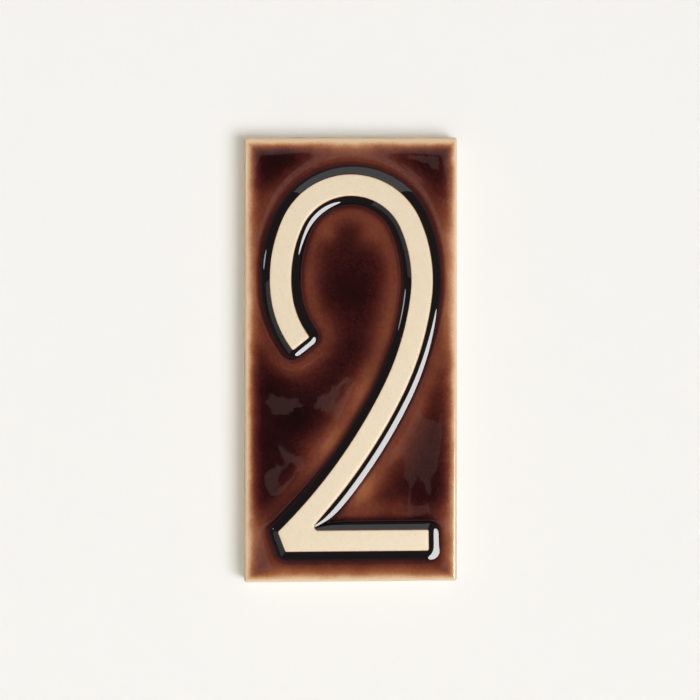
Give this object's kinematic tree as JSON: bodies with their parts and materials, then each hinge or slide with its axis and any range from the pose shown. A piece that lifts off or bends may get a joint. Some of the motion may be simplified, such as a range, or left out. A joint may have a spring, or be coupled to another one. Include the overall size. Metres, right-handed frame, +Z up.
{
  "type": "house number tile",
  "caption": "Oblong glazed ceramic house number tile with a plain raised numeral on its face and keying grooves in its back, fixed flat to a wall.",
  "frame": {"origin": "middle of the flat back, in the plane that lies against the wall", "axes": "+Z up the tile as it hangs, +Y out of its back into the wall, so the numeral faces -Y; +X to the right seen from the front"},
  "size_m": [0.102, 0.0113, 0.2134],
  "materials": {
    "glazed_clay": "translucent amber-brown gloss glaze over cream clay, thin at the rim, pooled round the numeral, whose top is bare and matt"
  },
  "bodies": {
    "root": {"number_tile": "glazed_clay"}
  },
  "joints": []
}
